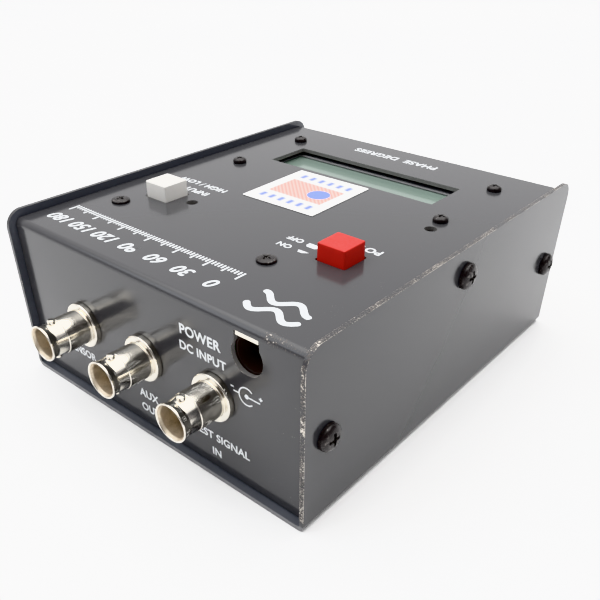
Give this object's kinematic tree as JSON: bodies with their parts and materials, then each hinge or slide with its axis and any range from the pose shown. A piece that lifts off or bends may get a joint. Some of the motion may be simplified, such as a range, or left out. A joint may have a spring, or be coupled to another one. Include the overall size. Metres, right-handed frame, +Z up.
{
  "type": "antenna phase meter",
  "caption": "Small bench phase meter in a folded steel case, with a character display, two push buttons, coaxial bayonet jacks and a power socket.",
  "frame": {"origin": "middle of the whole part's footprint, on the surface it stands on", "axes": "+Z up, -Y out of the connector panel, +X towards the side nearer the power socket"},
  "size_m": [0.1096, 0.1366, 0.0511],
  "materials": {
    "enamel": "gloss black enamel, chipped to bare metal along the cover's edges",
    "black_oxide": "black oxide steel",
    "white_print": "satin white label stock and printing ink",
    "standoff_metal": "plain turned",
    "circuit_board": "green solder mask",
    "display_bezel": "black pressed steel",
    "display_glass": "grey-green liquid crystal cell",
    "moulded_black": "moulded black",
    "capacitor_sleeve": "dark blue sleeve",
    "trimmer_blue": "moulded blue",
    "trimmer_rotor": "moulded cream",
    "switch_plastic": "moulded dark blue",
    "white_plastic": "satin white",
    "red_plastic": "satin red",
    "spring_steel": "drawn wire",
    "nickel": "bright nickel plate, slightly warm",
    "ptfe": "cream white",
    "contact_gold": "gold plated",
    "tinned_copper": "tinned wire"
  },
  "bodies": {
    "case": {"case_cover": "enamel", "case_chassis": "enamel", "side_screw_left_front": "black_oxide", "side_screw_left_middle": "black_oxide", "side_screw_left_rear": "black_oxide", "side_screw_right_front": "black_oxide", "side_screw_right_middle": "black_oxide", "side_screw_right_rear": "black_oxide", "display_screw_1": "black_oxide", "display_screw_2": "black_oxide", "display_screw_3": "black_oxide", "display_screw_4": "black_oxide", "board_screw_left": "black_oxide", "board_screw_right": "black_oxide", "top_label": "white_print", "display_standoff_1": "standoff_metal", "display_standoff_2": "standoff_metal", "display_standoff_3": "standoff_metal", "display_standoff_4": "standoff_metal", "board_standoff_left": "standoff_metal", "board_standoff_right": "standoff_metal", "display_board": "circuit_board", "main_board": "circuit_board", "display_bezel": "display_bezel", "display_glass": "display_glass", "display_header": "moulded_black", "processor_chip": "moulded_black", "detector_chip": "moulded_black", "voltage_regulator": "moulded_black", "power_jack_body": "moulded_black", "filter_capacitor": "capacitor_sleeve", "trimmer_body_left": "trimmer_blue", "trimmer_body_right": "trimmer_blue", "power_switch_body": "switch_plastic", "input_switch_body": "switch_plastic", "power_switch_spring": "spring_steel", "input_switch_spring": "spring_steel", "left_jack_shell": "nickel", "left_jack_nut": "nickel", "middle_jack_shell": "nickel", "middle_jack_nut": "nickel", "right_jack_shell": "nickel", "right_jack_nut": "nickel", "power_jack_strip": "nickel", "left_jack_insulator": "ptfe", "middle_jack_insulator": "ptfe", "right_jack_insulator": "ptfe", "left_jack_contact": "contact_gold", "middle_jack_contact": "contact_gold", "right_jack_contact": "contact_gold", "left_jack_lead": "tinned_copper", "middle_jack_lead": "tinned_copper", "right_jack_lead": "tinned_copper", "power_jack_pin": "tinned_copper"},
    "power_button": {"power_button_cap": "red_plastic", "power_switch_plunger": "white_plastic"},
    "input_button": {"input_button_cap": "white_plastic", "input_switch_plunger": "white_plastic"},
    "left_trimmer": {"trimmer_rotor_left": "trimmer_rotor"},
    "right_trimmer": {"trimmer_rotor_right": "trimmer_rotor"}
  },
  "joints": [
    {"name": "power_button_press", "type": "slide", "parent": "case", "child": "power_button", "axis": [0, 0, -1], "range_m": [0, 0.0025], "stiffness_N_per_m": 150, "springref_m": -0.002, "deforming": ["power_switch_spring"]},
    {"name": "input_button_press", "type": "slide", "parent": "case", "child": "input_button", "axis": [0, 0, -1], "range_m": [0, 0.0025], "stiffness_N_per_m": 150, "springref_m": -0.002, "deforming": ["input_switch_spring"]},
    {"name": "left_trimmer_turn", "type": "hinge", "parent": "case", "child": "left_trimmer", "pos_m": [-0.0238, -0.0152, 0.0385], "axis": [0, 0, 1], "range_deg": [-105, 105]},
    {"name": "right_trimmer_turn", "type": "hinge", "parent": "case", "child": "right_trimmer", "pos_m": [0.0373, 0.0131, 0.0385], "axis": [0, 0, 1], "range_deg": [-105, 105]}
  ]
}
